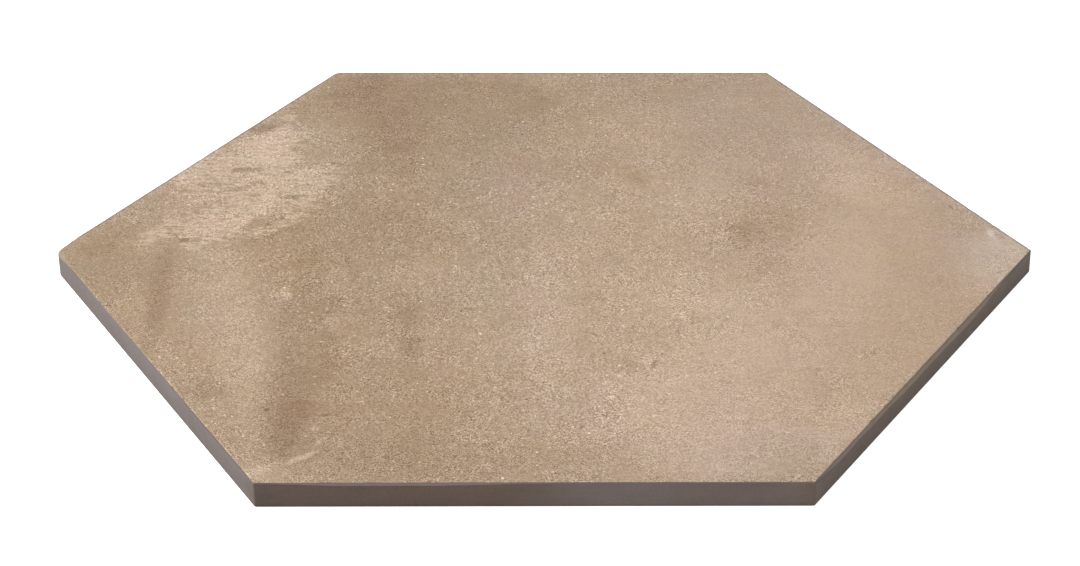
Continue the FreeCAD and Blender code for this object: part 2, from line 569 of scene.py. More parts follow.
def make_tile(materials):
    shell = Shell()
    face_ring = add_lattice(shell)
    top_ring, bottom_ring = add_rim(shell)
    shell.zip(face_ring, top_ring, FACE)
    shell.zip(add_back(shell), bottom_ring, BACK)
    data = bpy.data.meshes.new("tile_dressed")
    data.from_pydata(shell.points, [], shell.faces)
    for material in materials:
        data.materials.append(material)
    data.polygons.foreach_set("material_index", shell.slots)
    mesh = bmesh.new()
    mesh.from_mesh(data)
    refine_dents(mesh)
    bmesh.ops.triangulate(mesh, faces=[face for face in mesh.faces if len(face.verts) > 4])
    bmesh.ops.recalc_face_normals(mesh, faces=mesh.faces)
    settle_face(mesh)
    lay_atlas(mesh)
    for face in mesh.faces:
        face.smooth = True
    bmesh.ops.scale(mesh, vec=(MM, MM, MM), verts=mesh.verts)
    loose = [edge for edge in mesh.edges if len(edge.link_faces) != 2]
    triangles = sum(len(face.verts) - 2 for face in mesh.faces)
    print(f"tile mesh: {triangles} triangles, {len(loose)} open edges")
    mesh.to_mesh(data)
    mesh.free()
    return add_object("tile_dressed", data)


# Node building

# How many times its own size a patch is measured out to.
PATCH_REACH = 3.0
ENDLESS = 1e6


def put(socket, value):
    if isinstance(value, bpy.types.NodeSocket):
        socket.id_data.links.new(value, socket)
    else:
        socket.default_value = value


def fill(node, **inputs):
    """Gives inputs of a node values or links. An underscore in a name stands for a space."""
    for name, value in inputs.items():
        put(node.inputs[name.replace("_", " ")], value)


def linear(level):
    """Linear light of a screen level from 0 to 255."""
    share = level / 255
    return share / 12.92 if share <= 0.04045 else ((share + 0.055) / 1.055) ** 2.4


class Graph:
    """Builds the nodes of one material. Places are in millimetres, in the frame of the tile."""

    def __init__(self, name, flat=False):
        self.material = bpy.data.materials.new(name)
        self.material.use_nodes = True
        self.tree = self.material.node_tree
        self.tree.nodes.clear()
        self.shader = self.node("BsdfPrincipled")
        self.node("OutputMaterial", Surface=self.shader.outputs[0])
        coordinates = self.node("TexCoord").outputs["Object"]
        self.place = self.vector("MULTIPLY", coordinates, (1 / MM, 1 / MM, 0 if flat else 1 / MM))

    def node(self, kind, **inputs):
        node = self.tree.nodes.new("ShaderNode" + kind)
        fill(node, **inputs)
        return node

    def operate(self, node, operation, values):
        node.operation = operation
        for socket, value in zip(node.inputs, values):
            put(socket, value)
        return node.outputs

    def math(self, operation, *values, clamp=False):
        node = self.node("Math")
        node.use_clamp = clamp
        return self.operate(node, operation, values)[0]

    def vector(self, operation, *values):
        outputs = self.operate(self.node("VectorMath"), operation, values)
        return outputs["Value" if operation == "DOT_PRODUCT" else "Vector"]

    def weighted(self, total, *parts):
        """The total and the parts, each times its weight."""
        for part, weight in parts:
            total = self.math("MULTIPLY_ADD", part, weight, total)
        return total

    def lay(self, node, at=(0, 0, 0), turn=0.0, stretch=(1, 1, 1)):
        """Lays a texture out round this place, turned and stretched so."""
        mapping = node.texture_mapping
        mapping.vector_type = "TEXTURE"
        mapping.translation = at
        mapping.rotation = (0, 0, math.radians(turn))
        mapping.scale = stretch
        fill(node, Vector=self.place)

    def clouds(self, size=1.0, detail=3, roughness=0.6, **frame):
        """Noise round nought, whose largest forms are this many millimetres."""
        node = self.node("TexNoise", Scale=1 / size, Detail=detail, Roughness=roughness)
        self.lay(node, **frame)
        return self.math("SUBTRACT", node.outputs[0], 0.5)

    def cells(self, size=1.0, **frame):
        """Distance from the middle of the nearest cell of this size, and three numbers drawn for the cell."""
        node = self.node("TexVoronoi")
        node.voronoi_dimensions = "2D"
        fill(node, Scale=1 / size)
        self.lay(node, **frame)
        drawn = self.node("SeparateColor", Color=node.outputs["Color"])
        return self.math("MULTIPLY", node.outputs["Distance"], size), drawn.outputs

    def ramp_up(self, value, start, end):
        """Nought at the start and one at the end of this range of the value, smoothly."""
        node = self.node("MapRange", Value=value, From_Min=start, From_Max=end)
        node.interpolation_type = "SMOOTHSTEP"
        node.clamp = False
        return node.outputs[0]

    def patch(self, place, size, turn, softness, raggedness):
        """One inside an ellipse of these half sizes, falling to nought across its soft, ragged edge."""
        node = self.node("TexGradient")
        node.gradient_type = "SPHERICAL"
        if len(place) == 2:
            place, size = (*place, 0), (*size, ENDLESS)
        self.lay(node, place, turn, [PATCH_REACH * part for part in size])
        nearness = self.weighted(node.outputs[1], (raggedness, -1 / PATCH_REACH))
        return self.ramp_up(nearness, 1 - (1 + softness) / PATCH_REACH, 1 - (1 - softness) / PATCH_REACH)

    def marks(self, total, rows, raggedness):
        """Adds patches to the total, each with its own change."""
        for x, y, long, wide, turn, softness, change in rows:
            mask = self.patch((x, y), (long, wide), turn, softness, raggedness)
            total = self.weighted(total, (mask, change))
        return total

    def specks(self, spacing, size, share, **frame):
        """Scattered specks: up to one inside them, nought elsewhere."""
        distance, drawn = self.cells(spacing, **frame)
        radius = self.weighted(0.4 * size, (drawn[1], 0.6 * size))
        spot = self.ramp_up(self.math("DIVIDE", distance, radius), 1.0, 0.7)
        chosen = self.math("LESS_THAN", drawn[0], share)
        strength = self.weighted(0.3, (drawn[2], 0.7))
        return self.math("MULTIPLY", self.math("MULTIPLY", spot, chosen), strength)

    def height(self):
        """The height above the back."""
        return self.vector("DOT_PRODUCT", self.place, (0, 0, 1))

    def bump(self, height, strength, distance, **under):
        node = self.node("Bump", Height=height, Strength=strength, Distance=distance * MM, **under)
        return node.outputs[0]

    def colour(self, tone, reach, steps, levels, drift, light):
        """The colour of a tone within this reach of nought, round these screen levels in this light."""
        node = self.node("ValToRGB", Fac=self.weighted(0.5, (tone, 0.5 / reach)))
        elements = node.color_ramp.elements
        while len(elements) <= steps:
            elements.new(0.5)
        for step, element in enumerate(elements):
            level = 2 * reach * step / steps - reach
            shown = (mean + part * level for mean, part in zip(levels, drift))
            element.position = step / steps
            element.color = (*(linear(value) / light for value in shown), 1)
        return node.outputs[0]

    def tint(self, colour, red, green, blue):
        """The colour, whose red, green and blue each change by a drift times its share."""
        factors = self.node("CombineXYZ", X=self.weighted(1.0, red))
        fill(factors, Y=self.weighted(1.0, green), Z=self.weighted(1.0, blue))
        return self.vector("MULTIPLY", colour, factors.outputs[0])

    def finish(self, colour, roughness, change, pattern, specular, normal):
        """Ends the material. Its roughness changes with a pattern."""
        rough = self.math("MULTIPLY_ADD", pattern, change, roughness, clamp=True)
        fill(self.shader, Base_Color=colour, Roughness=rough, Specular_IOR_Level=specular, Normal=normal)
        return self.material


# Wearing face. A tone is the difference from the face's mean, in screen levels.

FACE_LIGHT = 1.13
FACE_LEVELS = (181.3, 157.3, 132.6)
TONE_DRIFT = (0.98, 1.0, 1.07)
TONE_REACH = 70
TONE_STEPS = 7
BASE_TONE = -3.7

# Clouds of the glaze: x, y, half length, half width, turn of its length from X, softness, tone.
CLOUDS = {
    "dusky back left": (-38, 104, 44, 40, 90, 0.6, -12),
    "dark smear": (-66, 98, 46, 11, 98, 0.6, -8),
    "back left corner": (-78, 132, 14, 10, 0, 0.7, -9),
    "pale band": (-106, -28, 40, 9, 97, 0.6, 9),
    "pale band foot": (-92, -82, 28, 6, 102, 0.6, 7),
    "sooty corner": (-142, -16, 18, 18, 0, 0.6, -9),
    "dim middle left": (-64, 10, 38, 30, 100, 0.6, -11),
    "brown strip": (-75, -58, 46, 9, 95, 0.4, -11),
    "heart of the strip": (-77, -105, 28, 7, 97, 0.6, -13),
    "dim front left": (-46, -102, 42, 24, 90, 0.7, -8),
    "front edge shade": (-18, -130, 46, 12, 0, 0.7, -7.5),
    "pale column": (2, -44, 42, 10, 90, 0.7, 8),
    "light right half": (72, -14, 100, 84, 90, 0.5, 4.5),
    "pale front": (54, -86, 56, 36, 62, 0.7, 9.5),
    "pale right": (100, -8, 34, 15, 84, 0.6, 7.5),
    "pale back right": (111, 58, 32, 13, 108, 0.7, 10),
    "cloud right": (75, 17, 16, 11, 55, 0.6, -9.5),
    "cloud right tail": (80, 42, 9, 8, 60, 0.7, -2),
    "pale right corner": (153, -12, 19, 14, 90, 0.7, 15),
    "shade right edge": (134, -15, 12, 7, 60, 0.7, -3),
    "front right shade": (76, -138, 14, 8, 0, 0.7, -3),
    "brown streak": (-42, -55, 24, 3, 90, 0.6, -6),
    "thin brown band": (-126, -26, 32, 3.8, 92, 0.4, -8),
    "pale veil": (-124, 20, 20, 9, 60, 0.6, 4),
    "light beside the band": (-88, -66, 16, 5, 97, 0.6, 4),
    "dusk beside the smear": (-50, 92, 22, 9, 95, 0.7, -4.5),
    "fringe of the bloom": (-89, 104, 18, 7, 60, 0.7, -5),
    "lightest of the bloom": (-101, 76, 14, 7, 80, 0.7, 7),
    "light of the left rim": (-123, 71, 84, 3, 60, 0.6, 6),
    "light of the right rim": (123, 71, 84, 3, 120, 0.6, 5),
    "bloom by the edge": (-124, 58, 14, 6, 60, 0.7, 5),
    "shade at the left corner": (-150, 8, 12, 7, 60, 0.7, -8),
    "light of the band": (-91, -68, 13, 5, 97, 0.7, 3.5),
    "light tip": (156, 5, 11, 5, 120, 0.6, 9),
    "light over the line": (-131, 12, 7, 3, 0, 0.5, 4),
}

# Small soft clouds between them, in the same form without a softness.
SMALL_SOFTNESS = 0.8
SMALL_CLOUDS = [
    (-88, 26, 12, 12, 40, 4),
    (-44, 42, 16, 16, 0, -2.5),
    (-43, -14, 11, 10, 0, 7),
    (-65, -94, 18, 7, 97, -5),
    (-48, -38, 22, 8, 0, -7),
    (-12, -64, 18, 12, 60, 3),
    (44, -24, 26, 14, 30, 5.5),
    (36, -88, 16, 12, 60, 5.5),
    (68, -64, 20, 14, 60, 5),
    (56, -124, 22, 12, 0, 6),
    (52, 44, 20, 12, 60, 4),
    (16, 128, 60, 18, 0, -5),
    (30, -68, 12, 9, 90, -4),
    (56, -114, 42, 17, 0, 4.5),
    (66, 90, 16, 12, 0, -1.5),
    (88, 54, 14, 6, 98, -1.5),
    (14, 61, 18, 9, 0, -6),
    (-18, 24, 26, 12, 90, -3.5),
    (60, -36, 20, 9, 0, 5.5),
    (126, 14, 16, 9, 90, 2),
    (97, -106, 16, 8, 60, 5),
    (-80, -138, 8, 5, 0, 7),
    (-58, 122, 16, 12, 0, -4.5),
    (-6, 112, 28, 8, 90, -3),
    (-30, 44, 10, 8, 0, -3.5),
    (-48, 20, 14, 8, 0, -3),
    (-18, 7, 10, 8, 0, -3.5),
    (6, -16, 9, 8, 0, -3.5),
    (66, -10, 8, 10, 0, -3.5),
    (-100, -100, 8, 5, 120, 2.5),
    (112, -24, 52, 22, 88, 2.5),
    (-102, -90, 7, 5, 120, -4),
    (-42, -50, 10, 8, 90, -2.5),
    (-6, -52, 8, 7, 90, -3),
    (-52, -65, 9, 6, 0, 5),
    (-30, -76, 8, 7, 0, 3),
    (-24, -138, 14, 5, 0, -3),
    (-77, -135, 7, 6, 0, 3.5),
    (66, 116, 9, 8, 0, 4),
    (6, 126, 12, 8, 0, 2.5),
    (66, -126, 12, 7, 0, -4),
    (114, 80, 10, 7, 120, -6),
    (42, 102, 18, 12, 0, 3),
    (-76, 92, 20, 8, 95, 4.5),
    (-70, 74, 12, 8, 90, 2.5),
    (-113, 31, 8, 6, 0, -7),
    (-126, 33, 8, 6, 60, 5),
    (-128, 13, 12, 10, 0, -7),
    (-96, 12, 14, 8, 30, -7),
    (-79, 27, 10, 6, 60, -2),
    (-90, 110, 10, 6, 60, -4),
    (-91, 67, 6, 5, 0, 4.5),
    (-54, 64, 10, 14, 0, -2.5),
    (-18, -126, 14, 10, 0, 2.5),
    (48, -88, 12, 8, 0, 3),
    (30, -76, 8, 6, 0, -3),
    (90, -122, 10, 6, 60, 4),
    (56, -138, 16, 5, 0, 3),
    (-50, -52, 16, 8, 90, -2.5),
    (-114, -14, 8, 7, 0, -3.5),
    (-62, -66, 13, 6, 95, -2.8),
    (-104, 21, 8, 5, 20, 3),
    (-89, 19, 8, 5, 30, -4),
    (-103, -24, 9, 6, 90, 3.5),
    (-74, -17, 10, 6, 0, 3),
    (103, 45, 10, 6, 60, 4.5),
    (42, 74, 12, 6, 90, 3.5),
    (54, 42, 7, 6, 0, 3),
    (-19, 116, 9, 7, 0, 3.5),
    (-6, 74, 8, 8, 0, 3),
    (18, 24, 8, 9, 0, 3),
    (-138, -18, 10, 7, 60, 3),
]

# The chalky bloom at the back left, in the same form without a tone.
BLOOM = {
    "bloom": (-108, 64, 42, 19, 62, 0.35),
    "heart": (-101, 78, 24, 10, 80, 0.35),
    "tongue": (-90, 48, 20, 11, 50, 0.35),
    "foot": (-108, 28, 26, 12, 66, 0.4),
    "toe": (-118, 12, 12, 6.5, 90, 0.4),
    "skirt": (-85, 36, 13, 6, 72, 1.0),
    "fringe": (-91, 19, 15, 3.6, 42, 0.9),
    "upper end": (-97, 102, 6, 3.4, 60, 0.9),
    "left foot": (-130, 20, 16, 7, 70, 1.0),
}
# Where it is thin or broken, in the same form with the change of its cover.
BLOOM_GAPS = {
    "left side": (-128, 58, 24, 8, 60, 0.8, -0.2),
    "right side": (-83, 83, 18, 7, 78, 0.7, -0.7),
    "left rim": (-115, 78, 13, 4.5, 60, 0.7, -0.2),
    "hollow": (-118, 42, 14, 9, 60, 0.8, -0.45),
    "ragged foot": (-135, 27, 14, 8, 60, 0.8, -0.65),
    "edge fleck": (-106, 94, 10, 4.5, 30, 0.5, -1.2),
    "right fleck": (-92, 76.4, 2, 1.4, 40, 0.6, -0.5),
    "middle fleck": (-103, 49, 3.4, 1.8, 20, 0.6, -0.6),
    "lower middle fleck": (-108, 45, 3.4, 1.8, 20, 0.6, -0.5),
    "tongue fleck": (-89, 39, 4, 1.6, 15, 0.6, -0.9),
    "inner fleck": (-108, 60, 6, 1.8, 5, 0.6, -0.9),
    "lower flecks": (-97, 19.5, 7, 2.6, 20, 0.7, -0.42),
    "lower left fleck": (-122, 7, 5, 1.6, 0, 0.6, -0.9),
}
# The level of cover at which it ends and the width of that edge, and how far flakes and bits break it.
BLOOM_END, BLOOM_EDGE = 0.6, 0.3
FLAKE_BREAK, BIT_BREAK = 2.4, 1.4
# The tones of its layer, of the veil round it, and of the flakes and bits in both.
BLOOM_TONE, VEIL_TONE = 15, 6.5
BLOOM_FLAKE_TONE, BLOOM_BIT_TONE = 80, 36

# Warm and cool drift: the same form, with the change of red less blue in screen levels.
DRIFTS = [
    (74, 112, 36, 34, 90, 0.7, -5),
    (122, 70, 84, 6, 120, 0.6, -5),
    (-123, 71, 84, 3.5, 60, 0.7, -5),
    (36, 122, 24, 18, 0, 0.8, -1.5),
    (80, 62, 36, 20, 0, 0.8, -2.5),
    (-22, 74, 40, 14, 90, 0.8, -2.5),
    (153, -2, 17, 20, 0, 0.7, -10),
    (-8, 50, 26, 12, 90, 0.8, -3),
    (70, -130, 32, 16, 0, 0.7, -5),
    (108, -70, 30, 12, 60, 0.8, 3),
    (-96, -6, 40, 13, 92, 0.7, 4),
    (-124, -52, 34, 11, 120, 0.7, 5.5),
    (-70, -70, 62, 10, 95, 0.7, 4),
    (-38, -88, 50, 26, 90, 0.7, 4.5),
    (-146, 4, 20, 14, 0, 0.7, 3),
    (-14, -36, 34, 20, 90, 0.8, -2),
    (28, -30, 50, 20, 90, 0.8, 2),
    (-80, 6, 30, 18, 90, 0.8, 3.5),
    (-126, -16, 20, 7, 90, 0.7, 3.5),
    (-92, -96, 34, 13, 105, 0.7, 4),
    (-44, 14, 44, 18, 90, 0.8, 1.8),
    (34, 52, 12, 9, 0, 0.8, 2.5),
    (-116, 80, 10, 6, 60, 0.8, 2),
]
BLOOM_DRIFT, PATCH_DRIFT = 1, 13

# Green and rosy drift: the same form, with the change of green less red and blue in screen levels.
GREENS = [
    (112, 0, 130, 38, 90, 0.6, -0.9),
    (56, -96, 50, 36, 50, 0.7, -1),
    (-44, 34, 90, 54, 90, 0.7, 0.7),
    (-140, -12, 22, 20, 0, 0.6, 1.2),
    (122, 70, 84, 6, 120, 0.6, 1.1),
    (-4, 92, 40, 30, 0, 0.7, 0.4),
    (-64, 74, 36, 6, 100, 0.7, 0.9),
    (-63, 108, 32, 9, 107, 0.7, -2.2),
    (-86, 86, 14, 8, 60, 0.7, 1.3),
    (-41, -60, 14, 4, 90, 0.6, -2.2),
    (-10, 118, 14, 8, 0, 0.7, 0.5),
    (-112, 18, 12, 9, 60, 0.7, -1.6),
    (-75, -106, 24, 8, 98, 0.7, -1.8),
    (-124.5, -30, 30, 3.4, 91, 0.6, -2.4),
    (-100, 84, 14, 8, 80, 0.7, -1.2),
    (-104, -38, 16, 6, 90, 0.7, -1.2),
    (-10, 46, 22, 7.5, 90, 0.5, -1.9),
    (0, -46, 16, 8, 90, 0.6, -0.9),
    (-22, -26, 16, 10, 90, 0.7, 0.7),
    (76, -128, 10, 10, 0, 0.7, 1.6),
]
BLUSH_GREEN = 11

# The change of red, green and blue with each level of warm or green drift.
RED_SHARE, GREEN_SHARE, BLUE_SHARE = 0.0045, 0.014, -0.01

# How much grain there is, and in the same form the change of its amount.
GRAIN_AMOUNT = 0.94
CALM = [
    (121, -12, 74, 33, 88, 0.5, -0.52),
    (72, -44, 38, 18, 90, 0.7, -0.25),
    (52, -130, 54, 14, 0, 0.7, -0.2),
    (-40, -112, 44, 26, 0, 0.7, -0.15),
    (82, 110, 46, 38, 0, 0.7, -0.4),
    (-50, 114, 46, 34, 0, 0.7, -0.28),
    (58, 50, 24, 16, 0, 0.7, -0.25),
    (104, 2, 40, 22, 80, 0.8, -0.1),
    (30, 20, 18, 18, 0, 0.8, -0.12),
    (0, 122, 26, 14, 0, 0.7, -0.14),
    (24, 68, 84, 13, 0, 0.7, -0.1),
    (34, -56, 44, 42, 0, 0.8, -0.08),
    (-146, 0, 20, 20, 0, 0.7, -0.35),
    (156, 0, 16, 14, 0, 0.6, -0.22),
    (-104, -48, 44, 14, 98, 0.7, -0.2),
    (-74, -92, 40, 14, 98, 0.7, -0.2),
    (-2, -110, 26, 26, 0, 0.7, 0.17),
    (-124, -30, 34, 9, 95, 0.6, -0.25),
    (70, -100, 40, 30, 60, 0.7, -0.3),
]

# The tones of wide clouds, of streaks and of the mottle, and of dark and light flakes strewn all over.
WIDE_TONE, STREAK_TONE, MOTTLE_TONE = 4, 8, 14
DARK_FLAKE_TONE, LIGHT_FLAKE_TONE = -8, 6
# The tones of the ripples and the crumbs of the grain, and how much it varies from place to place.
RIPPLE_TONE, CRUMB_TONE = 27, 108
PATCHINESS = 2.6

# The light curls on the brown ground left of the middle.
CURL_PATCH = ((-72, -26), (38, 15), 95, 0.6)
CURL_TONE = 26

# Specks: spacing of their cells, largest radius, share of the cells that have one, offset, tone.
SPECKS = [
    (5.0, 0.55, 0.24, 0.0, 112),
    (2.3, 0.40, 0.12, 17.0, 80),
    (3.4, 0.50, 0.16, 41.0, -60),
]

# The painted shade along the back edges, a dark hairline standing for the bevel turned away from the camera:
# where it starts and is full, its tone, and the change of red less blue.
BACK_EDGE_SHADE_START, BACK_EDGE_SHADE_FULL = APOTHEM - 1.7, APOTHEM - 0.7
BACK_EDGE_SHADE_TONE, BACK_EDGE_SHADE_DRIFT = -22, -26

# Small marks: x, y, half length, half width, turn, softness, tone.
SPOTS = {
    "chalky spot": (-3, 136, 9, 6, 120, 0.7, 9),
    "dark fleck at the rim": (-105, 93.5, 5.5, 2.6, 15, 0.5, -15),
    "light by the dark fleck": (-97, 92, 3.2, 4.4, 0, 0.6, 8),
    "dark fleck in the bloom": (-108.5, 60, 5, 1.4, 8, 0.5, -12),
    "right fleck in the bloom": (-92.3, 76.3, 1.5, 1.2, 0, 0.5, -10),
    "dark tongue fleck": (-88.8, 39, 3.6, 1.4, 15, 0.5, -14),
    "dark foot fleck": (-100, 22, 2.8, 1.2, 20, 0.5, -11),
    "second foot fleck": (-94.5, 18.2, 2.4, 1.1, -10, 0.5, -11),
    "third foot fleck": (-90, 22.4, 1.8, 1.0, 0, 0.5, -10),
    "fleck below the tongue": (-85.5, 29.5, 2.2, 1.1, 40, 0.5, -9),
    "dark green fleck": (-122.3, 7.4, 1.5, 1.5, 0, 0.4, -32),
    "light line": (-133, 7, 10, 1.2, 0, 0.6, 7),
    "pale vein": (-69.2, -128.7, 5.2, 1.5, 37, 0.4, 26),
    "pale vein tail": (-79, -134, 7, 2.0, 30, 0.6, 10),
    "pale fleck": (-84, -30, 1.7, 4.2, 10, 0.5, 24),
    "light dot": (-50, -39.2, 1.4, 0.9, 0, 0.5, 24),
    "pale blot": (-98, -42, 6, 8, 0, 0.8, 5),
    "grey blot": (-103, -91, 6, 5, 0, 0.8, -8),
    "brown streak left": (-124, -42, 2.4, 20, 3, 0.7, -7),
    "brown blot left": (-126, -66, 3, 4, 0, 0.7, -7),
    "brown blot": (-76.5, -117, 4.5, 10, 8, 0.6, -9),
    "red brown streak": (-40, -64, 2.2, 9, 0, 0.7, -9),
    "crumb": (22.3, -94.8, 1.5, 0.7, 10, 0.5, 34),
    "russet spot": (32, 53, 5, 4, 90, 0.7, -7),
    "blot in the cloud": (68, 13, 5, 7, 0, 0.8, -7),
    "blot behind the cloud": (72, 50, 5, 4, 0, 0.8, -6),
    "blot before the cloud": (75, -10, 4, 5, 0, 0.8, -6),
    "dark blot": (15, -33, 6, 3, 0, 0.8, -6),
    "dark green blot": (-11, -18, 4, 2, 0, 0.8, -7),
    "ring": (33.6, -73.4, 1.9, 2.6, 0, 0.35, 17),
    # The ring shade is a painted shadow at the dent of the ring, on its side away from the key light.
    "ring shade": (36.3, -74.6, 1.1, 2.6, 160, 0.5, -22),
    "pit": (-44.4, -128.5, 1.0, 1.0, 0, 0.5, -26),
    "pit in the strip": (-82.5, -101.8, 1.1, 0.8, 0, 0.5, -34),
    "dark dot behind the vein": (-62.3, -125.1, 0.9, 0.7, 0, 0.5, -22),
    "dark dot on the vein": (-65.4, -127.2, 0.7, 0.7, 0, 0.5, -20),
    "dark dot left": (-64.6, -105.1, 1.6, 0.8, 20, 0.5, -20),
    "light crumb": (-67, -112.8, 1.2, 1.1, 0, 0.5, 22),
    "light crumb before it": (-65, -120, 0.9, 0.9, 0, 0.5, 16),
    "light scratch": (-54.6, -97.2, 1.6, 0.7, 0, 0.5, 18),
    "pit right": (151.9, -16, 0.7, 1.2, 0, 0.5, -16),
    "pit far right": (140.8, 31.7, 0.8, 1.8, 0, 0.5, -18),
    # The wrinkle is a painted shadow right of the small lump, and the wrinkle light a painted highlight on
    # the lump, lit from the left.
    "wrinkle": (155.2, 9.8, 0.7, 2.4, 20, 0.5, -18),
    "wrinkle light": (152.6, 11.4, 1.3, 2.8, 10, 0.6, 20),
}


def bloom_layer(graph, flakes, bits, ragged):
    """The chalky bloom, which breaks up into level flakes at its edges, and its unbroken cover."""
    cover = 0.0
    for x, y, long, wide, turn, softness in BLOOM.values():
        mask = graph.patch((x, y), (long, wide), turn, softness, ragged)
        cover = graph.math("MAXIMUM", cover, mask)
    cover = graph.marks(cover, BLOOM_GAPS.values(), ragged)
    broken = graph.weighted(cover, (flakes, FLAKE_BREAK), (bits, BIT_BREAK))
    return graph.ramp_up(broken, BLOOM_END - 0.5 * BLOOM_EDGE, BLOOM_END + 0.5 * BLOOM_EDGE), cover


def back_edge_shade_mask(graph):
    """Mask of the painted shade along the back edges: one at the back edges, falling to nought further in."""
    farthest = 0.0
    for side in (BACK_RIGHT, FAR, BACK_LEFT):
        outward = direction((side + 0.5) * TURN)
        reach = graph.vector("DOT_PRODUCT", graph.place, (outward.x, outward.y, 0))
        farthest = graph.math("MAXIMUM", farthest, reach)
    return graph.ramp_up(farthest, BACK_EDGE_SHADE_START, BACK_EDGE_SHADE_FULL)


def face_material():
    graph = Graph("glazed_face", flat=True)
    wide = graph.clouds(roughness=0.55, size=26)
    streaks = graph.clouds(stretch=(3.2, 22, 1))
    flakes = graph.clouds(detail=4, roughness=0.7, turn=-3, stretch=(6, 2, 1))
    bits = graph.clouds(detail=2, roughness=0.7, size=1.5)
    mottle = graph.clouds(roughness=0.65, size=6)
    grain = graph.clouds(roughness=0.8, size=2.6)
    fine = graph.clouds(detail=1, size=0.55)
    ripples = graph.clouds(detail=2, roughness=0.7, turn=-2, stretch=(2, 0.9, 1))
    strewn = graph.clouds(roughness=0.7, at=(70, 33, 0), turn=-2, stretch=(4.5, 2.8, 1))
    rough_patches = graph.clouds(size=12, at=(-210, 70, 0))
    _, crumbs = graph.cells(stretch=(0.27, 0.2, 1))
    ragged = graph.math("MULTIPLY", graph.clouds(detail=4, size=14), 1.1)
    torn = graph.weighted(ragged, (flakes, 0.9))

    clouds = [*CLOUDS.values(), *((*form, SMALL_SOFTNESS, change) for *form, change in SMALL_CLOUDS)]
    tone = graph.marks(BASE_TONE, clouds, torn)
    layer, cover = bloom_layer(graph, flakes, bits, ragged)
    broken = graph.weighted(0.0, (flakes, BLOOM_FLAKE_TONE), (bits, BLOOM_BIT_TONE))
    tone = graph.weighted(tone, (layer, BLOOM_TONE), (cover, VEIL_TONE), (broken, cover))
    tone = graph.marks(tone, SPOTS.values(), graph.math("MULTIPLY", mottle, 1.2))

    calm = graph.marks(GRAIN_AMOUNT, CALM, ragged)
    flaked = graph.weighted(
        0.0,
        (mottle, MOTTLE_TONE),
        (graph.ramp_up(strewn, 0.06, 0.16), DARK_FLAKE_TONE),
        (graph.ramp_up(strewn, -0.06, -0.16), LIGHT_FLAKE_TONE),
    )
    amount = graph.math("MULTIPLY", calm, graph.weighted(1.0, (rough_patches, PATCHINESS)))
    grit = graph.weighted(-0.5 * CRUMB_TONE, (crumbs[0], CRUMB_TONE), (ripples, RIPPLE_TONE))
    specks = 0.0
    for spacing, size, share, offset, change in SPECKS:
        one_kind = graph.specks(spacing, size, share, at=(-offset, offset, 0))
        specks = graph.weighted(specks, (one_kind, change))
    curls = graph.specks(spacing=2.6, size=0.62, share=0.24, stretch=(1.7, 0.8, 1))
    # rim is the mask of the painted shade along the back edges.
    rim = back_edge_shade_mask(graph)
    tone = graph.weighted(
        tone,
        (wide, WIDE_TONE),
        (streaks, STREAK_TONE),
        (flaked, calm),
        (grit, amount),
        (specks, graph.math("MULTIPLY", calm, calm)),
        (graph.math("MULTIPLY", curls, graph.patch(*CURL_PATCH, ragged)), CURL_TONE),
        # Painted shade along the back edges.
        (rim, BACK_EDGE_SHADE_TONE),
    )
    colour = graph.colour(tone, TONE_REACH, TONE_STEPS, FACE_LEVELS, TONE_DRIFT, FACE_LIGHT)

    patches = graph.clouds(detail=4, roughness=0.65, size=24, at=(-90, -40, 0))
    blush = graph.clouds(detail=5, roughness=0.75, size=12, at=(60, -130, 0))
    drift = graph.marks(0.0, DRIFTS, ragged)
    # The painted shade along the back edges is also cooler.
    drift = graph.weighted(drift, (layer, BLOOM_DRIFT), (patches, PATCH_DRIFT), (rim, BACK_EDGE_SHADE_DRIFT))
    greens = graph.weighted(graph.marks(0.0, GREENS, ragged), (blush, BLUSH_GREEN))
    colour = graph.tint(colour, (drift, RED_SHARE), (greens, GREEN_SHARE), (drift, BLUE_SHARE))
    broad = graph.bump(mottle, strength=0.25, distance=0.12)
    pits = graph.math("MULTIPLY", graph.math("ADD", grain, fine), amount)
    pitted = graph.bump(pits, strength=0.25, distance=0.10, Normal=broad)
    return graph.finish(colour, roughness=0.72, change=0.25, pattern=mottle, specular=0.3, normal=pitted)


# Edges

EDGE_LIGHT = 1.5
EDGE_LEVELS = (101, 88, 82)
BEVEL_LEVELS = (118, 106, 99)
EDGE_DRIFT = (0.98, 1.0, 1.06)
# Painted shade along the foot, where the edge faces the floor: where it starts and is full above the back,
# and its tone.
FOOT_SHADE_START, FOOT_SHADE_FULL = 1.5, 0.4
FOOT_SHADE_TONE = -9
# The tones of the large clouds, the patches, the marks of grinding and the grain.
EDGE_CLOUD_TONE, EDGE_PATCH_TONE, GRINDING_TONE, EDGE_GRAIN_TONE = 14, 8, 6, 16
# Their drift of red less blue, and the shares of the colours that drift and tints change.
EDGE_CLOUD_DRIFT, EDGE_PATCH_DRIFT = 8, 4
EDGE_RED_SHARE, EDGE_GREEN_SHARE, EDGE_BLUE_SHARE = 0.007, 0.12, -0.012
# The reach of the tones of the edges and of the back, and the steps of their colours.
PLAIN_REACH, PLAIN_STEPS = 40, 4

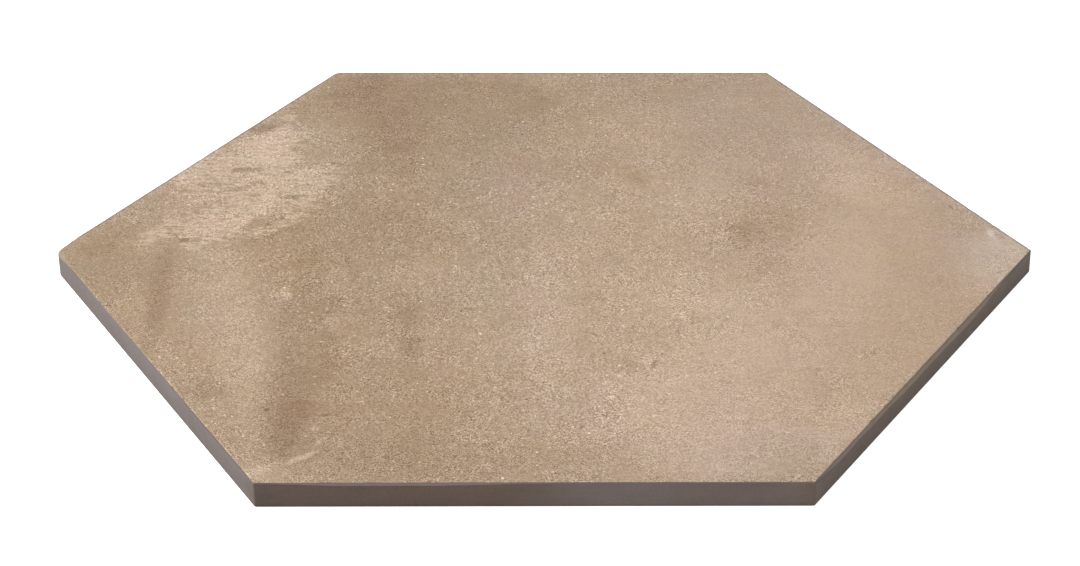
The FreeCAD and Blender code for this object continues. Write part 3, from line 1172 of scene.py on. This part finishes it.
# Clouds of the ground edges: centre, half sizes, turn from X, softness, tone in screen levels, and the
# change of red less blue.
EDGE_CLOUDS = {
    "brown front left": ((-46, -142.5, 4), (46, 6, 9), 0, 0.5, -13, 8),
    "grey front right": ((26, -142.5, 4), (18, 6, 9), 0, 0.6, 6, -2),
    "left side": ((-123.4, -71.3, 4), (90, 6, 30), -60, 0.3, 0, -8),
    "left side, upper half": ((-123.4, -71.3, 10), (100, 6, 5), -60, 0.6, 6, 0),
    "left side, front end": ((-94, -122, 4), (30, 6, 30), -60, 0.8, -5, 0),
    "right side": ((123.4, -71.3, 4), (90, 6, 30), 60, 0.3, -6, 10),
}
BEVEL_CLOUDS = {
    "left side": ((-123.4, -71.3, 8), (90, 6, 20), -60, 0.2, 5, 0),
    "left side, front end": ((-96, -118, 8), (34, 6, 20), -60, 0.7, -16, 0),
    "left corner": ((-164.0, 0, 8), (10, 10, 20), 0, 0.5, 30, 8),
    "front left": ((-50, -142.5, 8), (50, 6, 20), 0, 0.5, 8, 3),
    # The bevel of the right side is lighter partly by a painted highlight on the broad bevel, and partly by
    # the lighter glaze that covers it.
    "right side": ((123.4, -71.3, 8), (76, 6, 20), 60, 0.3, 12, 14),
}


def edge_material(name, levels, marks):
    graph = Graph(name)
    clouds = graph.clouds(roughness=0.55, stretch=(16, 16, 5))
    patches = graph.clouds(size=4.5)
    grinding = graph.clouds(detail=2, stretch=(6, 6, 0.35))
    grain = graph.clouds(detail=2, roughness=0.7, size=0.8)
    tints = graph.clouds(size=9)
    ragged = graph.math("MULTIPLY", clouds, 0.6)
    tone = graph.weighted(
        0.0,
        (clouds, EDGE_CLOUD_TONE),
        (patches, EDGE_PATCH_TONE),
        (grinding, GRINDING_TONE),
        (grain, EDGE_GRAIN_TONE),
        # Painted shade along the foot, where the edge faces the floor.
        (graph.ramp_up(graph.height(), FOOT_SHADE_START, FOOT_SHADE_FULL), FOOT_SHADE_TONE),
    )
    drift = graph.weighted(0.0, (patches, EDGE_PATCH_DRIFT), (clouds, EDGE_CLOUD_DRIFT))
    for centre, sizes, turn, softness, change, warmth in marks.values():
        mask = graph.patch(centre, sizes, turn, softness, ragged)
        tone = graph.weighted(tone, (mask, change))
        drift = graph.weighted(drift, (mask, warmth))
    colour = graph.colour(tone, PLAIN_REACH, PLAIN_STEPS, levels, EDGE_DRIFT, EDGE_LIGHT)
    colour = graph.tint(colour, (drift, EDGE_RED_SHARE), (tints, EDGE_GREEN_SHARE), (drift, EDGE_BLUE_SHARE))
    rough = graph.bump(graph.weighted(grinding, (grain, 0.5)), strength=0.3, distance=0.06)
    return graph.finish(colour, roughness=0.7, change=0.3, pattern=patches, specular=0.25, normal=rough)


# Back

BACK_LIGHT = 0.95
BACK_LEVELS = (150, 133, 118)
# The tones of the clouds, the dusting and the grain, of the dust on what is raised, and of specks.
BACK_CLOUD_TONE, DUSTING_TONE, BACK_GRAIN_TONE, DUST_TONE = 26, 18, 22, 16
DARK_SPECK_TONE, LIGHT_SPECK_TONE = -26, 22


def back_material():
    graph = Graph("fired_back")
    clouds = graph.clouds(detail=4, size=30)
    dusting = graph.clouds(detail=4, roughness=0.65, size=5)
    grain = graph.clouds(roughness=0.7, size=0.9)
    raised = graph.ramp_up(graph.height(), 0.25, 0.02)
    dark_specks = graph.specks(spacing=5, size=0.8, share=0.4)
    light_specks = graph.specks(spacing=3.4, size=0.5, share=0.3, at=(-29, -7, 0))
    tone = graph.weighted(
        0.0,
        (clouds, BACK_CLOUD_TONE),
        (dusting, DUSTING_TONE),
        (grain, BACK_GRAIN_TONE),
        (graph.math("MULTIPLY", raised, graph.ramp_up(dusting, -0.2, 0.2)), DUST_TONE),
        (dark_specks, DARK_SPECK_TONE),
        (light_specks, LIGHT_SPECK_TONE),
    )
    colour = graph.colour(tone, PLAIN_REACH, PLAIN_STEPS, BACK_LEVELS, (1, 1, 1), BACK_LIGHT)
    rough = graph.bump(graph.math("ADD", dusting, grain), strength=0.5, distance=0.12)
    return graph.finish(colour, roughness=0.85, change=0.2, pattern=dusting, specular=0.2, normal=rough)


# Studio

FLOOR_HALF = 3.0
FLOOR_GAP = 0.02 * MM
PAPER = (0.93, 0.93, 0.93, 1)
WHITE = (1, 1, 1, 1)


def make_floor():
    data = bpy.data.meshes.new("floor")
    ground = low.z - FLOOR_GAP
    corners = [(x * FLOOR_HALF, y * FLOOR_HALF, ground) for x, y in ((-1, -1), (1, -1), (1, 1), (-1, 1))]
    data.from_pydata(corners, [], [(0, 1, 2, 3)])
    material = bpy.data.materials.new("paper")
    material.use_nodes = True
    paper = material.node_tree.nodes["Principled BSDF"]
    fill(paper, Base_Color=PAPER, Roughness=0.9, Specular_IOR_Level=0.1)
    fill(paper, Emission_Color=WHITE, Emission_Strength=0.8)
    data.materials.append(material)
    add_object("floor", data)


def add_sun(name, azimuth, elevation, strength, spread, colour):
    """A broad, distant light that comes from this direction."""
    data = bpy.data.lights.new(name, "SUN")
    data.energy = strength * math.pi
    data.angle = math.radians(spread)
    data.color = colour
    lamp = add_object(name, data)
    level = direction(azimuth) * math.cos(math.radians(elevation))
    source = Vector((level.x, level.y, math.sin(math.radians(elevation))))
    lamp.rotation_euler = source.to_track_quat("Z", "Y").to_euler()


def make_lights():
    add_sun("key", azimuth=188, elevation=20, strength=1.35, spread=50, colour=(1.0, 0.985, 0.97))
    add_sun("top", azimuth=100, elevation=70, strength=0.25, spread=70, colour=WHITE[:3])
    world = bpy.data.worlds.new("studio")
    world.use_nodes = True
    fill(world.node_tree.nodes["Background"], Color=WHITE, Strength=0.42)
    scene = bpy.context.scene
    scene.world = world
    scene.view_settings.view_transform = "Standard"
    scene.view_settings.look = "None"


make_camera()
tile = make_tile(
    [
        face_material(),
        edge_material("ground_bevel", BEVEL_LEVELS, BEVEL_CLOUDS),
        edge_material("ground_edge", EDGE_LEVELS, EDGE_CLOUDS),
        back_material(),
    ]
)
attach(tile, "root")
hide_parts(NODE)
make_floor()
make_lights()
